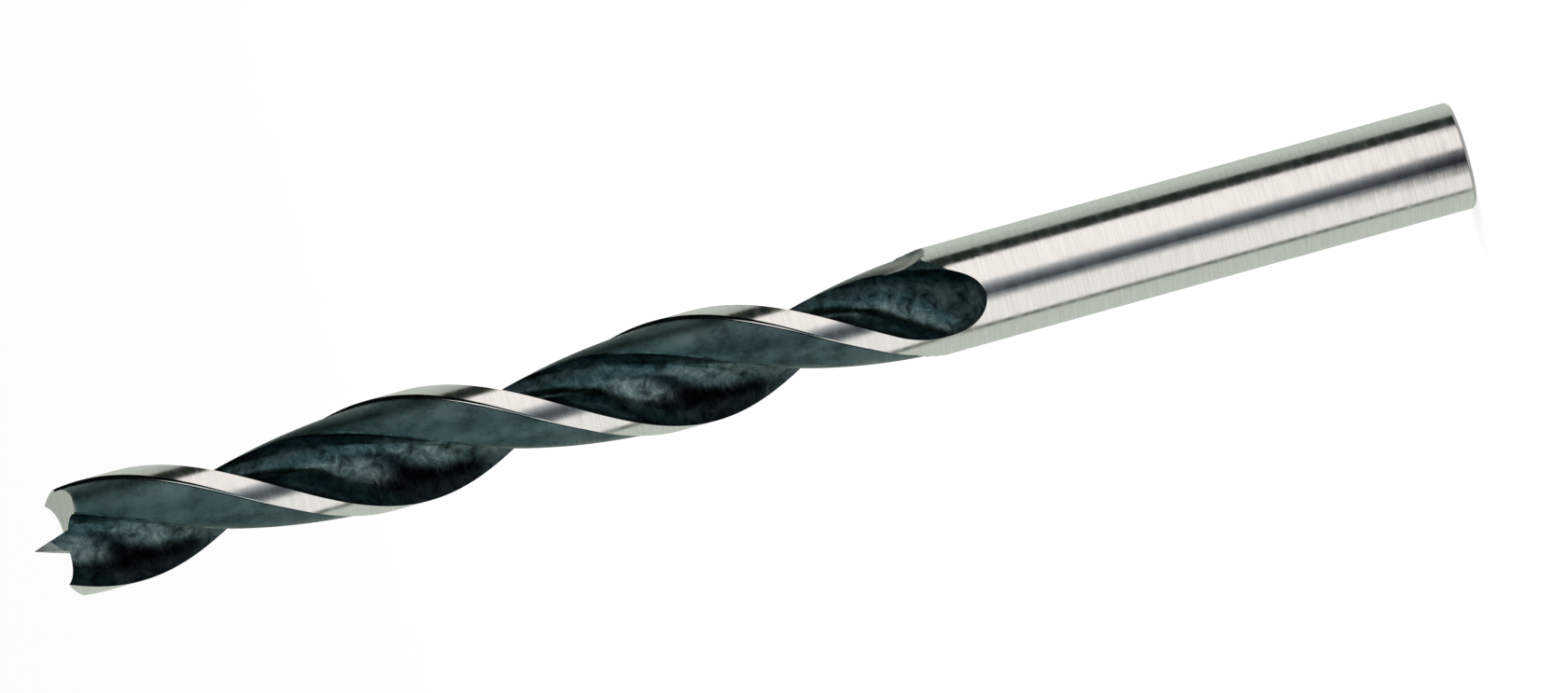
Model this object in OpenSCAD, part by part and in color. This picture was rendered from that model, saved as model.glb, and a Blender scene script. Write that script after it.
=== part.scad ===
// Brad-point twist drill bit for wood: two right-hand flutes, relieved lands, lip-and-spur point.
// Millimetres, +Z up. It stands on the flat end of its shank with the point upwards.
// The two cutting lips lie along the X axis.

/* [Blank] */
// Cutting diameter over the two margins
drill_diameter = 10; // [9:0.1:12]
// Diameter of the plain shank
shank_diameter = 9.7; // [8.4:0.1:9.9]
// Length from the shank's end to the centre point
overall_length = 131; // [120:1:150]
// Length of the plain shank, up to where the flutes have run out
shank_length = 44.5; // [32:0.5:50]
// Length of the short taper between the shank and the cutting diameter
neck_length = 4.2; // [2:0.2:6]
// Small edge break round the shank's end
end_chamfer = 0.3; // [0.1:0.05:0.6]

/* [Flutes] */
// Axial length of one full turn of the flutes
helix_lead = 52.6; // [44:0.2:62]
// Web left between the flutes at the point
web_at_point = 1.2; // [1:0.1:1.8]
// Web left between the flutes where they run out
web_at_shank = 2.2; // [1.8:0.1:2.6]
// Direction in which the flute's floor touches the web, in degrees behind the lip before it
floor_angle = 123; // [112:1:128]
// Axial length over which the flute cutter lifts out
runout_length = 8.4; // [6:0.2:11]
// Axial length, from the start of the run-out, over which the turning stops
turning_stops = 7.4; // [4:0.2:10]

/* [Lands] */
// Width of each ground margin, in degrees round the axis
margin_angle = 22; // [14:1:28]
// Diameter just behind the margin's little step
cleared_diameter = 9.46; // [8.6:0.02:9.6]
// Place of the heel, in degrees behind the leading corner
heel_angle = 80; // [72:1:88]
// Diameter over the two heels
heel_diameter = 7.1; // [6.2:0.1:7.8]
// Axial length over which the cleared back gets shallower and ends
clearing_runout = 8; // [5:0.2:11]

/* [Point] */
// Height of the centre point above the bottom of the lips
brad_height = 2.9; // [2:0.1:4]
// Angle between opposite sides of the centre point
brad_angle = 36; // [28:1:44]
// Height of the two spurs above the bottom of the lips
spur_height = 0.9; // [0.4:0.05:1.4]
// Distance from the axis to the bottom of each lip
lip_low_point = 1.4; // [1.3:0.05:2.4]
// Slope of each end face, falling away behind its lip
lip_relief = 19; // [10:1:24]

/* [Hidden] */
body_r = drill_diameter / 2;
shank_r = shank_diameter / 2;
cleared_r = cleared_diameter / 2;
heel_r = heel_diameter / 2;
web_r_low = web_at_shank / 2;
web_r_top = web_at_point / 2;
lip_z = overall_length - brad_height;
spur_z = lip_z + spur_height;
runout_z = shank_length + runout_length;
neck_z = runout_z - 0.3;

// how far the cutters reach past what they cut
clear = 0.5;
outside = body_r * 1.36;
top_z = overall_length + clear;

// the flute cutter leaves along an arc, in this direction behind the corner before it
lift_direction = 147;
flute_depth = body_r - web_r_low;
wheel_r = (pow(runout_length, 2) + pow(flute_depth, 2)) / (2 * flute_depth);
lift_angle = acos(1 - (flute_depth + clear) / wheel_r);

// the cleared back fades to a shallow flat, then leaves
back_starts = runout_z + clearing_runout * 0.32;
back_ends = back_starts - clearing_runout;
back_shallow = back_ends + clearing_runout * 0.18;
back_middle = (margin_angle + heel_angle) / 2;

spur_depth = spur_height * cos(lip_relief);
lip_arc_r = (pow(body_r - lip_low_point, 2) + pow(spur_depth, 2)) / (2 * spur_depth);
above_point = brad_height + 4;

step_angle = 10;
turn_step = helix_lead * step_angle / 360;
ground_steel = [0.72, 0.72, 0.70];

function polar(r, a) = [r * cos(a), r * sin(a)];
function span(from, to, count) = [for (i = [0 : count]) from + (to - from) * i / count];
function past(p, q, more) = q + more * (q - p) / norm(q - p);

// Turn of the leading corner at height z: the helix, easing off to a stop in the run-out.
function eased(u) = u <= 0 ? u : min(u, turning_stops) * (1 - min(u, turning_stops) / (2 * turning_stops));
function turn(z) = 360 / helix_lead * (runout_z - spur_z - eased(runout_z - z));
function placed(p, z) = let (t = turn(z)) [
    p[0] * cos(t) + p[1] * sin(t), p[0] * sin(t) - p[1] * cos(t), z];
function moved(form, direction, lift) = [for (p = form) p + polar(lift, direction)];

function web_r(z) = let (share = min(1, max(0, (spur_z - z) / (spur_z - runout_z))))
    web_r_top + (web_r_low - web_r_top) * share;

// An arc that touches the web at the floor angle and runs through one given point.
function arc_r(touch, through) = let (d = touch - through) -(d * d) / (2 * (d * polar(1, floor_angle)));
function arc_at(touch, r, a) = touch + polar(r, floor_angle) - polar(r, a);
function arc_end(touch, r, through) = let (v = touch + polar(r, floor_angle) - through)
    (atan2(v[1], v[0]) + 360) % 360;

// Flute form: a tight curve down from the heel, then a nearly straight rake face out to the corner.
function flute_form(web) = let (
    touch = polar(web, floor_angle),
    corner = [-body_r, 0],
    heel = polar(heel_r, heel_angle),
    wall_r = arc_r(touch, heel),
    wall_end = arc_end(touch, wall_r, heel),
    rake_r = arc_r(touch, corner),
    rake_end = arc_end(touch, rake_r, corner),
    wall = [for (i = [5 : -1 : 0]) arc_at(touch, wall_r, floor_angle + (wall_end - floor_angle) * i / 6)],
    rake = [for (i = [1 : 4]) arc_at(touch, rake_r, floor_angle + (rake_end - floor_angle) * i / 5)]
) concat(
    [past(wall[0], heel, 0.6 * body_r)], wall,
    rake, [past(rake[3], corner, 0.3 * body_r)],
    [for (a = [156, 132, 108]) polar(outside, a)]
);

// Cleared back: a small step behind the margin, then a curve falling to the heel and a little past it.
function back_radius(t, low_r) = cleared_r - (cleared_r - low_r) * (0.54 * t + 0.46 * pow(t, 3.5));
function back_point(t, low_r) = polar(back_radius(t, low_r), margin_angle + t * (heel_angle - margin_angle));
function back_form(low_r) = concat(
    [polar(outside, back_middle), polar(outside, margin_angle)],
    [for (t = [0, 0.2, 0.4, 0.6, 0.8]) back_point(t, low_r)],
    [past(back_point(0.8, low_r), back_point(1, low_r), 0.16 * body_r)],
    [polar(outside, heel_angle + 22)]
);
function back_low(z) = let (u = min(1, max(0, (back_starts - z) / (back_starts - back_shallow))))
    heel_r + (cleared_r - heel_r) * pow(u, 2);
function back_lift(z) = z > back_shallow ? 0
    : (body_r - cleared_r + clear) * pow((back_shallow - z) / (back_shallow - back_ends), 1.5);

// Sections of each cutter, from above the point down through its run-out.
function heights(from, to) = span(from, to, ceil((from - to) / turn_step));
flute_rings = concat(
    [for (z = heights(top_z, runout_z)) [for (p = flute_form(web_r(z))) placed(p, z)]],
    [for (i = [1 : 9]) let (a = lift_angle * i / 9, z = runout_z - wheel_r * sin(a))
        [for (p = moved(flute_form(web_r(z)), lift_direction, wheel_r * (1 - cos(a)))) placed(p, z)]]
);
back_rings = [for (z = concat(heights(top_z, back_starts), [for (i = [1 : 8])
    back_starts - clearing_runout * i / 8]))
        [for (p = moved(back_form(back_low(z)), back_middle, back_lift(z))) placed(p, z)]];

// A closed skin over the sections; slant says which way each patch is divided.
function skin(n, rows, slant) = concat(
    [for (k = [1 : n - 2]) [0, k + 1, k]],
    [for (j = [0 : rows - 2]) for (k = [0 : n - 1]) let (a = j * n + k, b = j * n + (k + 1) % n)
        slant ? [a, b, b + n] : [a, b, a + n]],
    [for (j = [0 : rows - 2]) for (k = [0 : n - 1]) let (a = j * n + k, b = j * n + (k + 1) % n)
        slant ? [a, b + n, a + n] : [b, b + n, a + n]],
    [for (k = [1 : n - 2]) let (e = (rows - 1) * n) [e, e + k, e + k + 1]]
);

module swept(rings, slant) {
    polyhedron(points = [for (r = rings) for (p = r) p], faces = skin(len(rings[0]), len(rings), slant));
}

module ground_blank() {
    rotate_extrude($fn = 96) polygon([
        [0, 0], [shank_r - end_chamfer, 0], [shank_r, end_chamfer], [shank_r, neck_z - neck_length],
        [body_r, neck_z], [body_r, overall_length], [0, overall_length]]);
}

// End face of one lip: hollow along the lip, falling away behind it as far as the heel.
module lip_wheel() {
    reach = body_r * 1.3;
    translate([0, 0, lip_z]) rotate([lip_relief, 0, 0]) rotate([90, 0, 0]) {
        translate([0, 0, -reach]) linear_extrude(height = reach * 2) {
            square([lip_low_point, above_point]);
            intersection() {
                translate([lip_low_point, lip_arc_r]) circle(r = lip_arc_r, $fn = 96);
                translate([lip_low_point, 0]) square([reach, above_point]);
            }
        }
        translate([-heel_r * 0.6, 0, heel_r * 0.5]) cube([heel_r, above_point, reach]);
    }
}

// Centre point: four flat sides that meet in a point.
module brad() {
    foot = brad_height + 2;
    translate([0, 0, overall_length - foot])
        cylinder(h = foot, r1 = foot * tan(brad_angle / 2) * sqrt(2), r2 = 0.04, $fn = 4);
}

module drill_bit() {
    color(ground_steel) difference() {
        ground_blank();
        for (a = [0, 180]) rotate([0, 0, a]) {
            swept(flute_rings, true);
            swept(back_rings, false);
        }
        difference() {
            for (a = [0, 180]) rotate([0, 0, a]) lip_wheel();
            brad();
        }
    }
}

drill_bit();
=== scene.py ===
"""Brad-point twist drill bit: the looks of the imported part, with its light and camera.

The bit stands on the flat end of its shank, its axis on Z. Sizes are in millimetres
and are turned to metres when a mesh is finished.
"""
import math

import bmesh
import bpy
from mathutils import Matrix, Vector


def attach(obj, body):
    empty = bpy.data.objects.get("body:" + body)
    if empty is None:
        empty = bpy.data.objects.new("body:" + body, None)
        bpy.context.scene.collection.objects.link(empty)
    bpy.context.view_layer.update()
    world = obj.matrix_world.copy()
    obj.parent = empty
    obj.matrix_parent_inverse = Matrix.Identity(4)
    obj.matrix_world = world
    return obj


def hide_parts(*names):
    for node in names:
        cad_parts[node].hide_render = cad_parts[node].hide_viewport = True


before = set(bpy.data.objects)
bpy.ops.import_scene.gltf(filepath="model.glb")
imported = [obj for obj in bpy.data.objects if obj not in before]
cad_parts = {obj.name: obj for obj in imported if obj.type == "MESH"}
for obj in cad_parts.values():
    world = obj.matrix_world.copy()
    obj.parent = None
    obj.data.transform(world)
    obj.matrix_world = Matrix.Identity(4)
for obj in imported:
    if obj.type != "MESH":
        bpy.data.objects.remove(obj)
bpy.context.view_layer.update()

MM = 0.001

# ------------------------------------------------------------------ fluted bar
# The bar is tool steel, ground round. Two flutes are milled along a right-hand helix and run out
# before the plain shank. Each land keeps a narrow ground margin, and its back is cleared down to
# the heel.

body_r = 5.0
shank_r = 4.85
overall_length = 131.0
end_chamfer = 0.3
helix_lead = 52.6
lip_z = 128.1
spur_z = 129.0
runout_z = 52.9
runout_length = 8.4
neck_z, neck_length = 52.6, 4.2
turning_stops = 7.4
web_r_top, web_r_low = 0.55, 1.1
rake_hook = 9.0
heel_flare = 40.0
flare_gap = 0.45
lift_direction = 147.0
margin_angle = 22.0
heel_angle = 80.0
cleared_r = 4.73
heel_r = 3.55
back_starts, clearing_runout = 54.475, 6.3
flat_low, flat_lean = 3.3, 66.0

flute_depth = body_r - web_r_low
wheel_r = (runout_length ** 2 + flute_depth ** 2) / (2 * flute_depth)

margin_steps, back_steps, flute_steps = 8, 20, 52


def polar(r, degrees):
    a = math.radians(degrees)
    return Vector((r * math.cos(a), r * math.sin(a)))


def azimuth(p):
    return math.degrees(math.atan2(p.y, p.x)) % 360


def turn(z):
    """How far the leading corner has turned at height z; in the run-out it eases to a stop."""
    u = runout_z - z
    if u > 0:
        u = min(u, turning_stops)
        u *= 1 - u / (2 * turning_stops)
    return 360 / helix_lead * (runout_z - spur_z - u)


def bar_radius(z):
    share = min(1, max(0, (neck_z - z) / neck_length))
    return body_r + (shank_r - body_r) * share


def back_radius(angle, z):
    """Cleared back of a land: falls from the margin's step to the heel, and ends in a flat that
    lifts out by the shank."""
    t = max(0, min(1.3, (angle - margin_angle) / (heel_angle - margin_angle)))
    curve = cleared_r - (cleared_r - heel_r) * (0.54 * t + 0.46 * t ** 3.5)
    share = max(0, back_starts - z) / clearing_runout
    flat = flat_low + (body_r - flat_low) * share ** 2
    lean = flat_lean - 33 * max(0, share - 0.6)
    return max(curve, flat / math.cos(math.radians(angle - lean)))


def land_radius(angle, z):
    full = bar_radius(z)
    if angle <= margin_angle or angle > heel_angle + 30:
        return full
    return min(full, back_radius(angle, z))


def flute_form(z):
    """The flute cutter's form at height z, from beyond the heel over the floor to beyond the corner."""
    share = min(1, max(0, (spur_z - z) / (spur_z - runout_z)))
    web = web_r_top + (web_r_low - web_r_top) * share
    hook = math.sin(math.radians(rake_hook))
    rake_r = (body_r ** 2 - web ** 2) / (2 * (web + body_r * hook))
    floor_angle = azimuth(polar(rake_r, 90 - rake_hook) - Vector((body_r, 0)))
    touch, out = polar(web, floor_angle), polar(1, floor_angle)
    form = []
    for edge, count in ((polar(heel_r, heel_angle), 60), (polar(body_r, 180), 60)):
        d = touch - edge
        r = -d.dot(d) / (2 * d.dot(out))
        centre = touch + out * r
        end = azimuth(centre - edge)
        arc = [centre - polar(r, floor_angle + (end - floor_angle) * i / count) for i in range(count + 1)]
        onward = (arc[-1] - arc[-2]).normalized()
        if len(form) == 0:
            crease = arc[-1] + onward * flare_gap
            arc += [crease, crease + polar(4, heel_flare)]
        else:
            arc.append(arc[-1] + onward * 4)
        form.append(arc)
    points = form[0][::-1] + form[1][1:]
    if z < runout_z:
        swing = math.asin(min(1, (runout_z - z) / wheel_r))
        points = [p + polar(wheel_r * (1 - math.cos(swing)), lift_direction) for p in points]
    return points


def crossing(inner, outer, z):
    """Where the form leaves the land between two of its points."""
    for _ in range(30):
        middle = (inner + outer) / 2
        angle = azimuth(middle)
        full = bar_radius(z) if angle > 150 else land_radius(angle, z)
        if middle.length < full:
            inner = middle
        else:
            outer = middle
    return inner


def milled_part(z):
    """The stretch of the form that lies inside the bar at height z, with its two ends on the land."""
    form = flute_form(z)
    deepest = min(range(len(form)), key=lambda i: form[i].length)
    if form[deepest].length >= bar_radius(z) - 1e-4:
        return None
    lo = hi = deepest
    while form[lo].length < land_radius(azimuth(form[lo]), z):
        lo -= 1
    while form[hi].length < bar_radius(z):
        hi += 1
    ends = crossing(form[lo + 1], form[lo], z), crossing(form[hi - 1], form[hi], z)
    line = [ends[0]] + form[lo + 1:hi] + [ends[1]]
    run = [0.0]
    for a, b in zip(line, line[1:]):
        run.append(run[-1] + (b - a).length)
    even, k = [], 0
    for i in range(flute_steps + 1):
        want = run[-1] * i / flute_steps
        while k < len(run) - 2 and run[k + 1] < want:
            k += 1
        even.append(line[k].lerp(line[k + 1], (want - run[k]) / max(1e-9, run[k + 1] - run[k])))
    return even


def half_section(z):
    """Half of the bar's section at height z: margin, step, cleared back and flute."""
    cut = milled_part(z)
    start, heel = azimuth(cut[-1]) - 180, azimuth(cut[0])
    land = [polar(bar_radius(z), start + (margin_angle - start) * i / margin_steps)
            for i in range(margin_steps + 1)]
    behind = [0, 0.8, 2.1, 3.4] + [3.4 + (heel - margin_angle - 3.4) * i / back_steps for i in range(1, back_steps)]
    land += [polar(land_radius(margin_angle + a + 1e-6, z), margin_angle + a) for a in behind]
    return land + cut[:-1]


def place_ring(verts, z):
    half = half_section(z)
    t = math.radians(turn(z))
    for k, v in enumerate(verts):
        v[strip] = k % len(half)
        p = half[v[strip]]
        late = min(1, max(0, (v[strip] - margin_steps - 4) / back_steps - 0.35) / 0.35)
        rubbed = late * min(1, max(0, (57.5 - z) / 6))
        v[skin] = min(1, max(0, bar_radius(z) - p.length) / 0.16) * (1 - rubbed)
        if k >= len(half):
            p = -p
        v.co = (p.x * math.cos(t) + p.y * math.sin(t), p.x * math.sin(t) - p.y * math.cos(t), z)


half_count = margin_steps + 4 + back_steps + flute_steps

# the flute ends where its floor comes out through the bar
low, high = runout_z - wheel_r * 0.999, runout_z
while high - low > 1e-5:
    middle = (low + high) / 2
    low, high = (low, middle) if milled_part(middle) else (middle, high)
flute_end = high

heights = []
step = helix_lead * 2.4 / 360
count = math.ceil((overall_length + 0.4 - runout_z) / step)
heights += [runout_z + (overall_length + 0.4 - runout_z) * (1 - i / count) for i in range(count)]
count = 64
heights += [runout_z - (runout_z - flute_end) * (1 - (1 - i / count) ** 2) for i in range(count)]
heights.append(flute_end + 0.0004)

bar = bmesh.new()
strip = bar.verts.layers.int.new("strip")
skin = bar.verts.layers.float.new("skin")
ring = bmesh.ops.create_circle(bar, segments=2 * half_count, radius=body_r)["verts"]
place_ring(ring, heights[0])
for z in heights[1:]:
    edges = [bar.edges.get((a, b)) for a, b in zip(ring, ring[1:] + ring[:1])]
    made = bmesh.ops.extrude_edge_only(bar, edges=edges)
    fresh = {v for v in made["geom"] if isinstance(v, bmesh.types.BMVert)}
    ring = [next(e.other_vert(v) for e in v.link_edges if e.other_vert(v) in fresh) for v in ring]
    place_ring(ring, z)

# plain shank down to its chamfered end
bmesh.ops.remove_doubles(bar, verts=bar.verts, dist=0.0009)
rim = [e for e in bar.edges if e.is_boundary and all(v.co.z < flute_end + 0.01 for v in e.verts)]
for z, r in ((flute_end - 0.4, shank_r), (end_chamfer + 0.03, shank_r), (end_chamfer - 0.03, shank_r - 0.012),
             (0.03, shank_r - end_chamfer + 0.012), (0.0, shank_r - end_chamfer - 0.03)):
    made = bmesh.ops.extrude_edge_only(bar, edges=rim)
    for v in [g for g in made["geom"] if isinstance(g, bmesh.types.BMVert)]:
        flat = Vector((v.co.x, v.co.y)).normalized() * r
        v.co = (flat.x, flat.y, z)
    rim = [e for e in made["geom"] if isinstance(e, bmesh.types.BMEdge) and e.is_boundary]
bmesh.ops.holes_fill(bar, edges=[e for e in bar.edges if e.is_boundary], sides=0)
bmesh.ops.recalc_face_normals(bar, faces=bar.faces)

GROUND, MILLED, CLEARED, SHADED, POINT_DARKENED = range(5)
for f in bar.faces:
    first, last = min(v[strip] for v in f.verts), max(v[strip] for v in f.verts)
    if last - first > 1:
        first = last
    outer = all(Vector((v.co.x, v.co.y)).length > bar_radius(v.co.z) - 0.004 for v in f.verts)
    if outer or all(v.co.z < flute_end + 0.01 for v in f.verts) or first == margin_steps + 2:
        f.material_index = GROUND
    # the step wall behind each margin and the strips beside the thin bright line get the shaded material: painted shade
    elif first < margin_steps + 4:
        f.material_index = SHADED
    else:
        f.material_index = CLEARED if first < margin_steps + 3 + back_steps else MILLED
    f.smooth = True
bar_mesh = bpy.data.meshes.new("drill_bit_dressed")
bar.to_mesh(bar_mesh)
bar.free()
ground, milled, cleared, shaded, point_darkened = [bpy.data.materials.new(name) for name in (
    "ground_steel", "milled_black", "cleared_black", "shaded_black", "point_steel")]
for material in (ground, milled, cleared, shaded, point_darkened):
    bar_mesh.materials.append(material)
bit = bpy.data.objects.new("drill_bit_dressed", bar_mesh)
bpy.context.scene.collection.objects.link(bit)

# ------------------------------------------------------------------ ground point
# The point is ground last: each lip is hollow, from the foot of the centre point out to the spur,
# and its end face falls away behind it. What the two wheels leave in the middle is a centre point
# with four flat sides.

lip_low_point = 1.4
lip_relief = 19.0
spur_height = 0.9
brad_height = 2.9
brad_angle = 33.0
brad_turn = 10.0
above_point = brad_height + 4
reach = body_r * 1.3
spur_depth = spur_height * math.cos(math.radians(lip_relief))
lip_hollow = 0.1
lip_rise = Vector((body_r - lip_low_point, spur_depth))
lip_arc_r = (lip_rise.length_squared / 4 + lip_hollow ** 2) / (2 * lip_hollow)
lip_arc_at = (Vector((lip_low_point, 0)) + lip_rise / 2
              + Vector((-lip_rise.y, lip_rise.x)).normalized() * (lip_arc_r - lip_hollow))


def as_cutter(mesh, name):
    bmesh.ops.recalc_face_normals(mesh, faces=mesh.faces)
    for f in mesh.faces:
        f.material_index = GROUND
    data = bpy.data.meshes.new(name)
    data.materials.append(ground)
    mesh.to_mesh(data)
    mesh.free()
    piece = bpy.data.objects.new(name, data)
    bpy.context.scene.collection.objects.link(piece)
    return piece


def cut_away(piece, cutter):
    cut = piece.modifiers.new("cut", "BOOLEAN")
    cut.operation = "DIFFERENCE"
    cut.solver = "EXACT"
    cut.object = cutter
    done = bpy.data.meshes.new_from_object(piece.evaluated_get(bpy.context.evaluated_depsgraph_get()))
    piece.modifiers.remove(cut)
    piece.data = done


def brad():
    mesh = bmesh.new()
    foot = brad_height + 2
    wide = foot * math.tan(math.radians(brad_angle / 2)) * math.sqrt(2)
    bmesh.ops.create_cone(mesh, cap_ends=True, segments=4, radius1=wide, radius2=0.03, depth=foot,
                          matrix=Matrix.Translation((0, 0, overall_length - foot / 2))
                          @ Matrix.Rotation(math.radians(brad_turn), 4, "Z"))
    return as_cutter(mesh, "brad")


def lip_wheel(side):
    """One grinding cut: hollow along the lip, straight across it."""
    mesh = bmesh.new()
    sweep = (math.asin((reach - lip_arc_at.x) / lip_arc_r)
             - math.asin((lip_low_point - lip_arc_at.x) / lip_arc_r))
    foot = bmesh.ops.create_vert(mesh, co=(lip_low_point, -reach, 0))["vert"]
    bmesh.ops.spin(mesh, geom=foot, cent=(lip_arc_at.x, -reach, lip_arc_at.y), axis=(0, -1, 0),
                   angle=sweep, steps=40, use_duplicate=False)
    bmesh.ops.remove_doubles(mesh, verts=mesh.verts, dist=1e-6)
    arc = sorted(mesh.verts, key=lambda v: v.co.x)
    inner = bmesh.ops.create_vert(mesh, co=(-0.02, -reach, 0))["vert"][0]
    top = bmesh.ops.create_vert(mesh, co=(-0.02, -reach, above_point))["vert"][0]
    corner = bmesh.ops.create_vert(mesh, co=(arc[-1].co.x, -reach, above_point))["vert"][0]
    for a, b in ((inner, arc[0]), (arc[-1], corner), (corner, top), (top, inner)):
        mesh.edges.new((a, b))
    face = bmesh.ops.edgeloop_fill(mesh, edges=mesh.edges)["faces"]
    made = bmesh.ops.extrude_face_region(mesh, geom=face)
    bmesh.ops.translate(mesh, vec=(0, 2 * reach, 0),
                        verts=[g for g in made["geom"] if isinstance(g, bmesh.types.BMVert)])
    # behind the middle the cut goes on over the heel of the land behind
    bmesh.ops.bisect_plane(mesh, geom=mesh.verts[:] + mesh.edges[:] + mesh.faces[:],
                           plane_co=(0, -heel_r * 0.5, 0), plane_no=(0, 1, 0))
    mesh.normal_update()
    behind = [f for f in mesh.faces if abs(f.normal.x) > 0.99
              and f.calc_center_median().x < 0 and f.calc_center_median().y < -heel_r * 0.5]
    made = bmesh.ops.extrude_face_region(mesh, geom=behind)
    bmesh.ops.translate(mesh, vec=(-heel_r * 0.6, 0, 0),
                        verts=[g for g in made["geom"] if isinstance(g, bmesh.types.BMVert)])
    bmesh.ops.delete(mesh, geom=[f for f in behind if f.is_valid], context="FACES_ONLY")
    place = (Matrix.Rotation(math.radians(side), 4, "Z") @ Matrix.Translation((0, 0, lip_z))
             @ Matrix.Rotation(math.radians(lip_relief), 4, "X"))
    bmesh.ops.transform(mesh, matrix=place, verts=mesh.verts)
    return as_cutter(mesh, "lip_wheel")


point = brad()
for side in (0, 180):
    wheel = lip_wheel(side)
    cut_away(wheel, point)
    cut_away(bit, wheel)
    bpy.data.objects.remove(wheel)
bpy.data.objects.remove(point)

finish = bmesh.new()
finish.from_mesh(bit.data)
bmesh.ops.remove_doubles(finish, verts=finish.verts, dist=2e-4)
bmesh.ops.triangulate(finish, faces=[f for f in finish.faces if len(f.verts) > 4])
for e in finish.edges:
    e.smooth = e.calc_face_angle(0) < math.radians(28)
for f in finish.faces:
    f.smooth = True
    middle = f.calc_center_median()
    # the centre point's faces get a darker steel: painted shade standing in for a darker reflection
    if f.material_index == GROUND and f.normal.z < 0.6 and Vector((middle.x, middle.y)).length < 1.8:
        f.material_index = POINT_DARKENED
bmesh.ops.scale(finish, vec=(MM, MM, MM), verts=finish.verts)
finish.to_mesh(bit.data)
finish.free()


# ------------------------------------------------------------------ steel finishes
# All one steel. The milled flutes and cleared backs keep the blue-black skin of the heat treatment;
# the shank, the margins and the point were ground bright afterwards.

def noise(tree, scale, detail=4.0, rough=0.55, distortion=0.0):
    """Noise over the object's own coordinates, in marks per metre along X, Y and Z."""
    coords = tree.nodes.new("ShaderNodeTexCoord")
    fit = tree.nodes.new("ShaderNodeMapping")
    fit.inputs["Scale"].default_value = scale
    made = tree.nodes.new("ShaderNodeTexNoise")
    made.inputs["Scale"].default_value = 1.0
    made.inputs["Detail"].default_value = detail
    made.inputs["Roughness"].default_value = rough
    made.inputs["Distortion"].default_value = distortion
    tree.links.new(coords.outputs["Object"], fit.inputs[0])
    tree.links.new(fit.outputs[0], made.inputs["Vector"])
    return made.outputs[0]


def ramp(tree, source, stops):
    """Colour ramp over a value; each stop is a place and a colour."""
    made = tree.nodes.new("ShaderNodeValToRGB")
    marks = made.color_ramp.elements
    while len(marks) > 1:
        marks.remove(marks[-1])
    marks[0].position, marks[0].color = stops[0][0], (*stops[0][1], 1)
    for place, colour in stops[1:]:
        marks.new(place).color = (*colour, 1)
    tree.links.new(source, made.inputs[0])
    return made.outputs[0]


def spread(tree, source, low, high):
    made = tree.nodes.new("ShaderNodeMapRange")
    made.inputs["From Min"].default_value, made.inputs["From Max"].default_value = 0.3, 0.7
    made.inputs["To Min"].default_value, made.inputs["To Max"].default_value = low, high
    tree.links.new(source, made.inputs["Value"])
    return made.outputs[0]


def bumps(tree, shader, source, height):
    made = tree.nodes.new("ShaderNodeBump")
    made.inputs["Distance"].default_value = height
    tree.links.new(source, made.inputs["Height"])
    if shader.inputs["Normal"].links:
        tree.links.new(shader.inputs["Normal"].links[0].from_socket, made.inputs["Normal"])
    tree.links.new(made.outputs[0], shader.inputs["Normal"])


def steel(material):
    material.use_nodes = True
    tree = material.node_tree
    tree.nodes.clear()
    out = tree.nodes.new("ShaderNodeOutputMaterial")
    shader = tree.nodes.new("ShaderNodeBsdfPrincipled")
    shader.inputs["Metallic"].default_value = 1
    tree.links.new(shader.outputs[0], out.inputs[0])
    return tree, shader


# ground: fine marks round the bar, a little uneven
tree, shader = steel(ground)
grain = noise(tree, (260, 260, 9000), detail=5)
cloud = noise(tree, (500, 500, 1400))
tree.links.new(ramp(tree, grain, [(0.3, (0.79, 0.79, 0.77)), (0.7, (0.92, 0.92, 0.90))]), shader.inputs["Base Color"])
tree.links.new(spread(tree, cloud, 0.11, 0.22), shader.inputs["Roughness"])
bumps(tree, shader, grain, 2e-6)
bumps(tree, shader, cloud, 5e-6)

# centre point: rougher steel, with a darker colour that is painted shade standing in for its darker reflection
tree, shader = steel(point_darkened)
grain = noise(tree, (3000, 3000, 900), detail=5)
tree.links.new(ramp(tree, grain, [(0.35, (0.30, 0.30, 0.28)), (0.65, (0.50, 0.49, 0.46))]), shader.inputs["Base Color"])
tree.links.new(spread(tree, grain, 0.2, 0.35), shader.inputs["Roughness"])
bumps(tree, shader, grain, 3e-6)

# milled: blue-black skin with lighter patches, and cutter marks across the flute
tree, shader = steel(milled)
patches = noise(tree, (800, 800, 800), detail=10, rough=0.72, distortion=0.6)
marks = noise(tree, (500, 500, 3600), detail=6, rough=0.6)
tree.links.new(ramp(tree, patches, [(0.36, (0.014, 0.026, 0.030)), (0.47, (0.055, 0.095, 0.106)),
                                    (0.58, (0.12, 0.18, 0.195)), (0.70, (0.25, 0.32, 0.33))]),
               shader.inputs["Base Color"])
tree.links.new(spread(tree, marks, 0.12, 0.24), shader.inputs["Roughness"])
bumps(tree, shader, marks, 8e-6)
bumps(tree, shader, patches, 1.6e-5)

# cleared: the same skin on a smoother, ground surface
tree, shader = steel(cleared)
patches = noise(tree, (420, 420, 260), detail=8, rough=0.65)
marks = noise(tree, (320, 320, 5200), detail=4)
black = ramp(tree, patches, [(0.34, (0.045, 0.078, 0.085)), (0.5, (0.105, 0.168, 0.178)),
                              (0.66, (0.16, 0.235, 0.245))])
skinned = tree.nodes.new("ShaderNodeAttribute")
skinned.attribute_name = "skin"
worn = tree.nodes.new("ShaderNodeMix")
worn.data_type = "RGBA"
worn.inputs[6].default_value = (0.62, 0.63, 0.60, 1)
tree.links.new(skinned.outputs["Fac"], worn.inputs["Factor"])
tree.links.new(black, worn.inputs[7])
tree.links.new(worn.outputs[2], shader.inputs["Base Color"])
tree.links.new(spread(tree, marks, 0.34, 0.5), shader.inputs["Roughness"])
bumps(tree, shader, marks, 5e-6)
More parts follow.
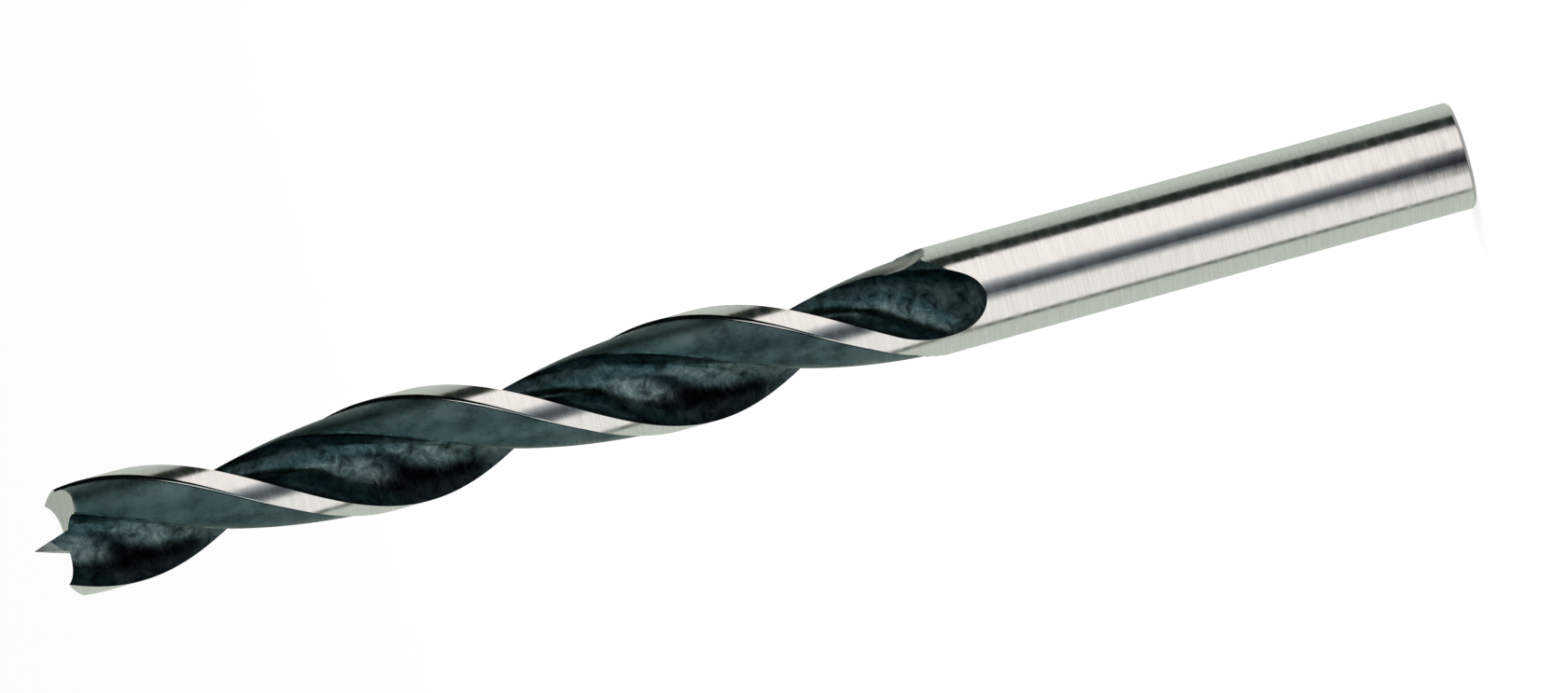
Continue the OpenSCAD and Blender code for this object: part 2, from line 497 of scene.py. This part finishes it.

# shaded: painted shade, near-black steel on the step wall behind each margin and on the strips either side of a thin
# bright line, where shadow falls
tree, shader = steel(shaded)
painted_shade_mottle = noise(tree, (900, 900, 900))
tree.links.new(ramp(tree, painted_shade_mottle, [(0.35, (0.004, 0.006, 0.007)), (0.7, (0.02, 0.028, 0.032))]),
               shader.inputs["Base Color"])
shader.inputs["Roughness"].default_value = 0.55

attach(bit, "root")
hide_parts("drill_bit")

# ------------------------------------------------------------------ studio
# White floor, with soft light from above, and a round light tent seen only in the steel: two soft
# boxes with the camera's gap between them, and dim green-grey cloth elsewhere.

floor_mesh = bmesh.new()
bmesh.ops.create_grid(floor_mesh, x_segments=1, y_segments=1, size=9)
data = bpy.data.meshes.new("floor")
floor_mesh.to_mesh(data)
floor_mesh.free()
floor = bpy.data.objects.new("floor", data)
bpy.context.scene.collection.objects.link(floor)
paper = bpy.data.materials.new("white_paper")
paper.use_nodes = True
tree = paper.node_tree
tree.nodes.clear()
out = tree.nodes.new("ShaderNodeOutputMaterial")
add = tree.nodes.new("ShaderNodeAddShader")
plain = tree.nodes.new("ShaderNodeBsdfDiffuse")
plain.inputs["Color"].default_value = (0.82, 0.82, 0.82, 1)
glow = tree.nodes.new("ShaderNodeEmission")
path = tree.nodes.new("ShaderNodeLightPath")
seen = tree.nodes.new("ShaderNodeMath")
seen.operation = "MAXIMUM"
strength = tree.nodes.new("ShaderNodeMath")
strength.operation = "MULTIPLY"
strength.inputs[1].default_value = 0.6
clear = tree.nodes.new("ShaderNodeMath")
clear.operation = "MAXIMUM"
tree.links.new(path.outputs["Is Camera Ray"], seen.inputs[0])
tree.links.new(path.outputs["Is Glossy Ray"], seen.inputs[1])
tree.links.new(seen.outputs[0], clear.inputs[0])
tree.links.new(path.outputs["Is Transmission Ray"], clear.inputs[1])
tree.links.new(clear.outputs[0], strength.inputs[0])
tree.links.new(strength.outputs[0], glow.inputs["Strength"])
tree.links.new(plain.outputs[0], add.inputs[0])
tree.links.new(glow.outputs[0], add.inputs[1])
tree.links.new(add.outputs[0], out.inputs[0])
floor.data.materials.append(paper)
floor.visible_glossy = False

tent_mesh = bmesh.new()
bmesh.ops.create_cone(tent_mesh, cap_ends=True, cap_tris=True, segments=96, radius1=1.0, radius2=1.0,
                      depth=3.4, matrix=Matrix.Translation((0, 0, 0.7)))
data = bpy.data.meshes.new("light_tent")
tent_mesh.to_mesh(data)
tent_mesh.free()
tent = bpy.data.objects.new("light_tent", data)
bpy.context.scene.collection.objects.link(tent)
tent.visible_camera = tent.visible_diffuse = tent.visible_shadow = False
tent.visible_transmission = tent.visible_volume_scatter = False
cloth = bpy.data.materials.new("tent_cloth")
cloth.use_nodes = True
tree = cloth.node_tree
tree.nodes.clear()
out = tree.nodes.new("ShaderNodeOutputMaterial")
glow = tree.nodes.new("ShaderNodeEmission")
coords = tree.nodes.new("ShaderNodeTexCoord")
turned = tree.nodes.new("ShaderNodeMapping")
around = tree.nodes.new("ShaderNodeTexGradient")
around.gradient_type = "RADIAL"
tree.links.new(coords.outputs["Object"], turned.inputs[0])
tree.links.new(turned.outputs[0], around.inputs[0])
# azimuth = 136 - psi; the radial gradient runs 0..1 from -180 to 180 degrees of azimuth
turned.inputs["Rotation"].default_value = (0, 0, math.radians(-136 + 180 - 90))


def tent_band(marks):
    """Cloth colours round the tent; psi runs from the picture's up side (0) over the camera (90)
    to its low side (180)."""
    return ramp(tree, around.outputs["Fac"], sorted(((270 - psi) / 360, colour) for psi, colour in marks))


dim, dark, shade = (0.54, 0.585, 0.525), (0.014, 0.022, 0.015), (0.18, 0.20, 0.22)
gap, line, teal = (0.055, 0.066, 0.08), (0.14, 0.16, 0.13), (0.38, 0.50, 0.52)
upper_box, lower_box = (1.02, 0.955, 0.93), (0.90, 0.88, 0.85)
grey, grey_low, dim_low = (0.40, 0.44, 0.39), (0.20, 0.22, 0.22), (0.38, 0.42, 0.37)
black, black_low, ground_light = (0.001, 0.002, 0.002), (0.07, 0.072, 0.07), (0.40, 0.41, 0.40)
level = tent_band([(-90, dim), (-40, dim), (-9, dim_low), (-5, dark), (20, dark), (25, upper_box),
                   (75, upper_box), (82, (0.42, 0.44, 0.46)), (90, shade), (97, gap), (106, gap), (114, shade),
                   (122, lower_box), (168, lower_box), (171, line), (178, line), (181, dim), (270, dim)])
above = tent_band([(-90, dim), (-62, dim), (-50, dark), (25, dark), (38, teal), (165, teal),
                   (200, (0.26, 0.30, 0.26)), (230, dim), (270, dim)])
top = tent_band([(-90, grey), (-62, grey), (-50, dark), (20, dark), (38, grey_low), (230, grey_low), (245, grey),
                 (270, grey)])
low = tent_band([(-90, dim), (-8, dim), (-5, dark), (25, dark), (35, upper_box), (70, upper_box), (79, black),
                 (127, black), (136, lower_box), (166, lower_box), (180, dim), (270, dim)])
below = tent_band([(-90, ground_light), (10, ground_light), (30, black), (175, black), (200, ground_light),
                   (270, ground_light)])
underneath = tent_band([(-90, ground_light), (15, ground_light), (60, black_low), (155, black_low),
                        (195, ground_light), (270, ground_light)])
apart = tree.nodes.new("ShaderNodeSeparateXYZ")
tree.links.new(coords.outputs["Object"], apart.inputs[0])


def by_height(low, high):
    made = tree.nodes.new("ShaderNodeMapRange")
    made.inputs["From Min"].default_value, made.inputs["From Max"].default_value = low, high
    tree.links.new(apart.outputs["Z"], made.inputs["Value"])
    return made.outputs[0]


def blend(kind, share, first, second):
    made = tree.nodes.new("ShaderNodeMix")
    made.data_type = "RGBA"
    made.blend_type = kind
    for socket, value in ((made.inputs["Factor"], share), (made.inputs[6], first), (made.inputs[7], second)):
        if isinstance(value, bpy.types.NodeSocket):
            tree.links.new(value, socket)
        else:
            socket.default_value = value
    return made.outputs[2]


cloth_colour = blend("MIX", by_height(-0.36, -0.27), low, level)
cloth_colour = blend("MIX", by_height(0.12, 0.24), cloth_colour, above)
cloth_colour = blend("MIX", by_height(0.45, 0.65), cloth_colour, top)
cloth_colour = blend("MIX", by_height(-0.52, -0.36), below, cloth_colour)
cloth_colour = blend("MIX", by_height(-0.99, -0.98), underneath, cloth_colour)
tree.links.new(cloth_colour, glow.inputs["Color"])
tree.links.new(glow.outputs[0], out.inputs[0])
tent.data.materials.append(cloth)

world = bpy.data.worlds.new("room")
bpy.context.scene.world = world
world.use_nodes = True
tree = world.node_tree
back = tree.nodes["Background"] if "Background" in tree.nodes else tree.nodes.new("ShaderNodeBackground")
back.inputs["Color"].default_value = (1, 1, 1, 1)
path = tree.nodes.new("ShaderNodeLightPath")
seen = tree.nodes.new("ShaderNodeMath")
seen.operation = "MAXIMUM"
level = tree.nodes.new("ShaderNodeMapRange")
level.inputs["To Min"].default_value = 0.45
level.inputs["To Max"].default_value = 1.0
clear = tree.nodes.new("ShaderNodeMath")
clear.operation = "MAXIMUM"
tree.links.new(path.outputs["Is Camera Ray"], seen.inputs[0])
tree.links.new(path.outputs["Is Glossy Ray"], seen.inputs[1])
tree.links.new(seen.outputs[0], clear.inputs[0])
tree.links.new(path.outputs["Is Transmission Ray"], clear.inputs[1])
tree.links.new(clear.outputs[0], level.inputs["Value"])
tree.links.new(level.outputs[0], back.inputs["Strength"])

lamp_data = bpy.data.lights.new("overhead", "AREA")
lamp_data.shape = "DISK"
lamp_data.size = 0.9
lamp_data.energy = 6
lamp = bpy.data.objects.new("overhead", lamp_data)
lamp.location = (-0.3, 0.5, 1.1)
lamp.rotation_euler = (-lamp.location + Vector((0, 0, 0.06))).to_track_quat("-Z", "Y").to_euler()
bpy.context.scene.collection.objects.link(lamp)
lamp.visible_camera = lamp.visible_glossy = False

# ------------------------------------------------------------------ camera
# A long lens looks a little down on the standing bit, rolled so that the bit lies across the frame.

AZ, EL, ROLL = math.radians(46.0), math.radians(4.8), math.radians(15.565)
toward = Vector((math.cos(EL) * math.cos(AZ), math.cos(EL) * math.sin(AZ), math.sin(EL)))
shank_way = (toward * toward.z - Vector((0, 0, 1))).normalized()
across = toward.cross(shank_way)
right = math.cos(ROLL) * shank_way - math.sin(ROLL) * across
up = math.sin(ROLL) * shank_way + math.cos(ROLL) * across
eye = Vector((0, 0, 0.0628)) + toward * 1.375
camera = bpy.data.objects.new("camera", bpy.data.cameras.new("camera"))
camera.data.lens = 358
camera.data.sensor_width = 36
camera.data.clip_start, camera.data.clip_end = 0.01, 40
camera.data.shift_x, camera.data.shift_y = 3.93 / 1680, -2.44 / 1680
camera.matrix_world = Matrix(((right.x, up.x, toward.x, eye.x), (right.y, up.y, toward.y, eye.y),
                              (right.z, up.z, toward.z, eye.z), (0, 0, 0, 1)))
bpy.context.scene.collection.objects.link(camera)
bpy.context.scene.camera = camera
bpy.context.scene.view_settings.view_transform = "Standard"
